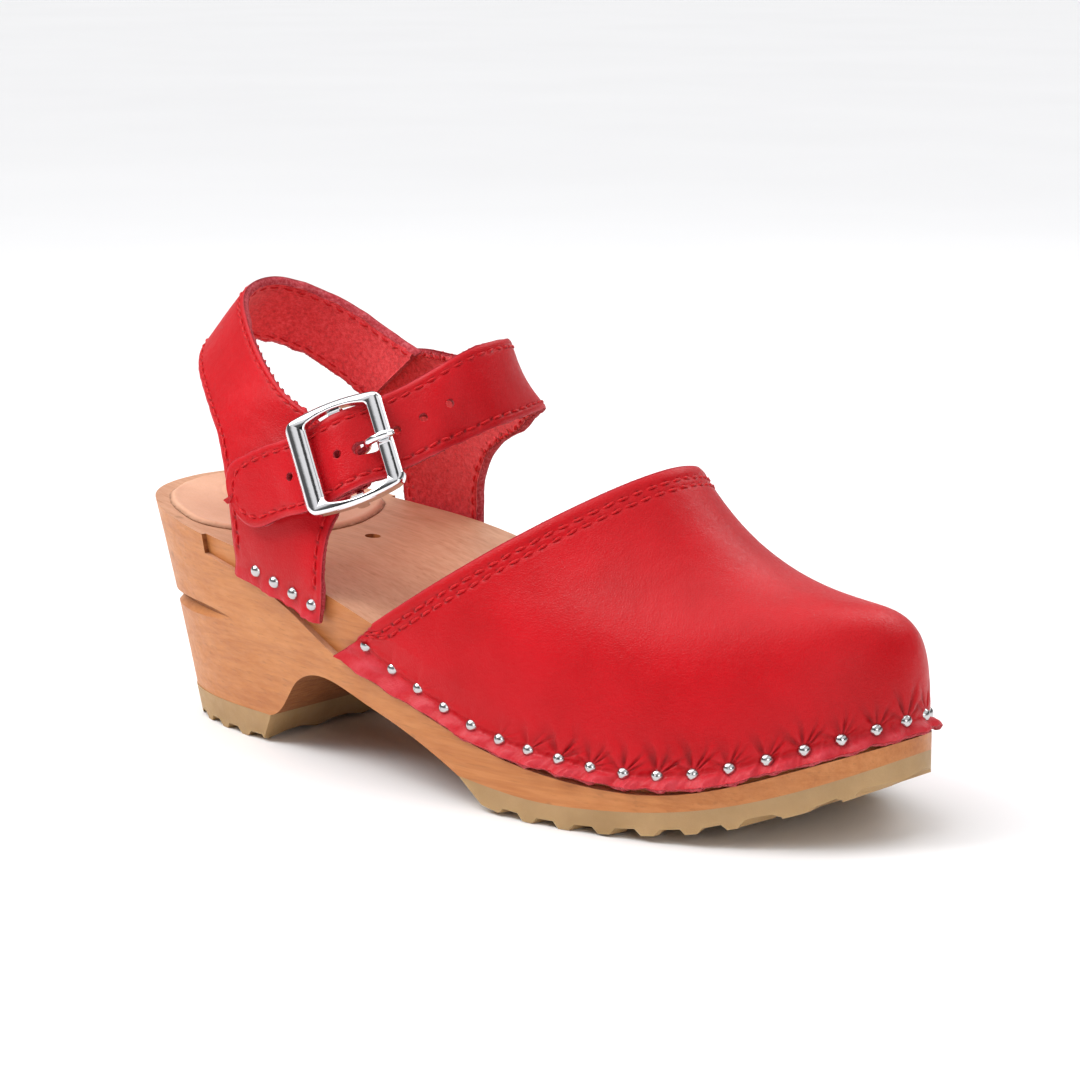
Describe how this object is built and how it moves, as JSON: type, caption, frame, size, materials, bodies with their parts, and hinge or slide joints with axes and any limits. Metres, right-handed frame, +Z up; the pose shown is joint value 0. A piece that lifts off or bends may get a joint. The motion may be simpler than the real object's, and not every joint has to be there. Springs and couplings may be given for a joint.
{
  "type": "wooden clog",
  "caption": "Heeled wooden clog with a nailed leather vamp, a slingback ankle strap with side buckle and ribbed rubber soles.",
  "frame": {"origin": "centre of the bounding box's footprint, on the ground", "axes": "+X from heel to toe, +Z up, -Y the side that carries the buckle"},
  "size_m": [0.2406, 0.0974, 0.119],
  "materials": {
    "wood": "oiled, satin",
    "rubber": "matte",
    "red_leather": "satin",
    "red_suede": "rough",
    "pad_leather": "matte",
    "puff": "matte",
    "nail_steel": "polished",
    "buckle_chrome": "polished"
  },
  "bodies": {
    "shoe": {"wooden_sole": "wood", "heel_top_piece": "rubber", "forefoot_outsole": "rubber", "heel_pad": "pad_leather", "vamp": "red_leather", "topline_facing": "red_suede", "toe_puff": "puff", "vamp_nails": "nail_steel", "outer_quarter_nails": "nail_steel", "inner_quarter_nails": "nail_steel", "outer_quarter": "red_leather", "outer_quarter_lining": "red_suede", "instep_strap": "red_leather", "instep_strap_lining": "red_suede", "buckle_tab": "red_leather"},
    "buckle": {"buckle_frame": "buckle_chrome"},
    "tongue": {"buckle_tongue": "buckle_chrome"}
  },
  "joints": [
    {"name": "buckle_hinge", "type": "hinge", "parent": "shoe", "child": "buckle", "pos_m": [-0.02462, -0.03532, 0.08182], "axis": [0.518, -0.1769, -0.8369], "range_deg": [-0.5, 1]},
    {"name": "tongue_hinge", "type": "hinge", "parent": "buckle", "child": "tongue", "pos_m": [-0.02462, -0.03532, 0.08182], "axis": [0.518, -0.1769, -0.8369], "range_deg": [0, 3]}
  ]
}
